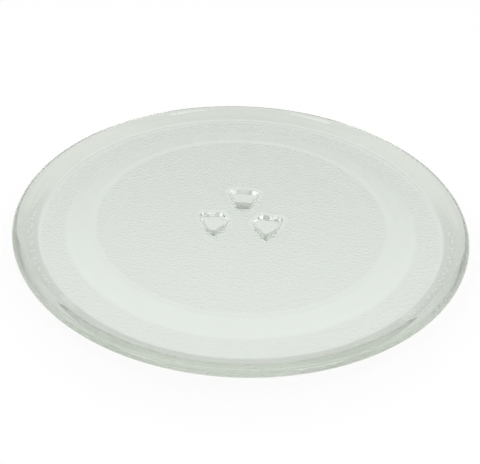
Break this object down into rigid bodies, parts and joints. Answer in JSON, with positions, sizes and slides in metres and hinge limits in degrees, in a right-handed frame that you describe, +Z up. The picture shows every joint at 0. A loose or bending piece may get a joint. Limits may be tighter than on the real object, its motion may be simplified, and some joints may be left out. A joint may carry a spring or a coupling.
{
  "type": "microwave turntable plate",
  "caption": "Round shallow dish of clear pressed glass with a raised rim, a smooth roller track underneath and wedge-shaped drive lugs round its centre.",
  "frame": {"origin": "on the turning axis, in the plane of the lugs' free faces that the plate rests on", "axes": "+Z up along the turning axis, +Y through the middle of one lug, +X to its right seen from above"},
  "size_m": [0.245, 0.245, 0.0169],
  "materials": {
    "clear_glass": "clear pressed glass with a faint green tint, polished on top and stippled underneath"
  },
  "bodies": {
    "root": {"turntable_plate": "clear_glass"}
  },
  "joints": []
}
